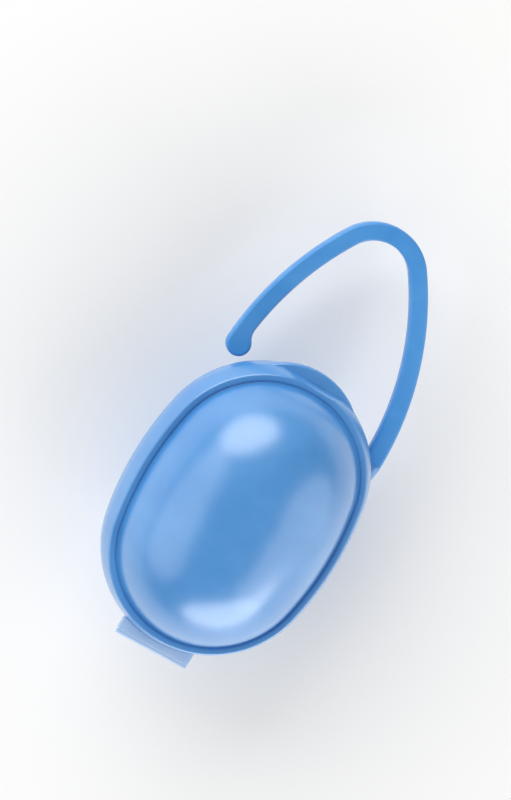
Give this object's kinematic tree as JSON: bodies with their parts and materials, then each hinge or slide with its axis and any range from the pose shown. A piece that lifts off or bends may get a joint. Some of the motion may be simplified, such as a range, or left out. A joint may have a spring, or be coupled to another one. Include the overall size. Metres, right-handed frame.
{
  "type": "pacifier case",
  "caption": "Oval two-shell pacifier case with a domed front inside a collar, thumb lip, living hinge and a flexible open carrying hook.",
  "frame": {"origin": "middle of the flat rest face on the back shell", "axes": "+Z out of the domed front, +Y along the case towards the hook, +X to the right seen from the front"},
  "size_m": [0.054, 0.1131, 0.0457],
  "materials": {
    "shell": "glossy moulded polypropylene, mid blue",
    "hinge": "thin translucent polypropylene, paler blue",
    "hook": "satin moulded polypropylene, mid blue"
  },
  "bodies": {
    "base": {"back_shell": "shell", "hinge_leaf_back": "hinge", "hinge_web": "hinge", "hook_stem": "hook"},
    "lid": {"front_shell": "shell", "hinge_leaf_front": "hinge"},
    "hook": {"hook_arm": "hook"}
  },
  "joints": [
    {"name": "lid_hinge", "type": "hinge", "parent": "base", "child": "lid", "pos_m": [0, -0.0384, 0.023], "axis": [1, 0, 0], "range_deg": [0, 180]},
    {"name": "hook_flex", "type": "hinge", "parent": "base", "child": "hook", "pos_m": [-0.00062, 0.07418, 0.0171], "axis": [0, 0, -1], "range_deg": [0, 20], "stiffness_Nm_per_rad": 0.03}
  ]
}
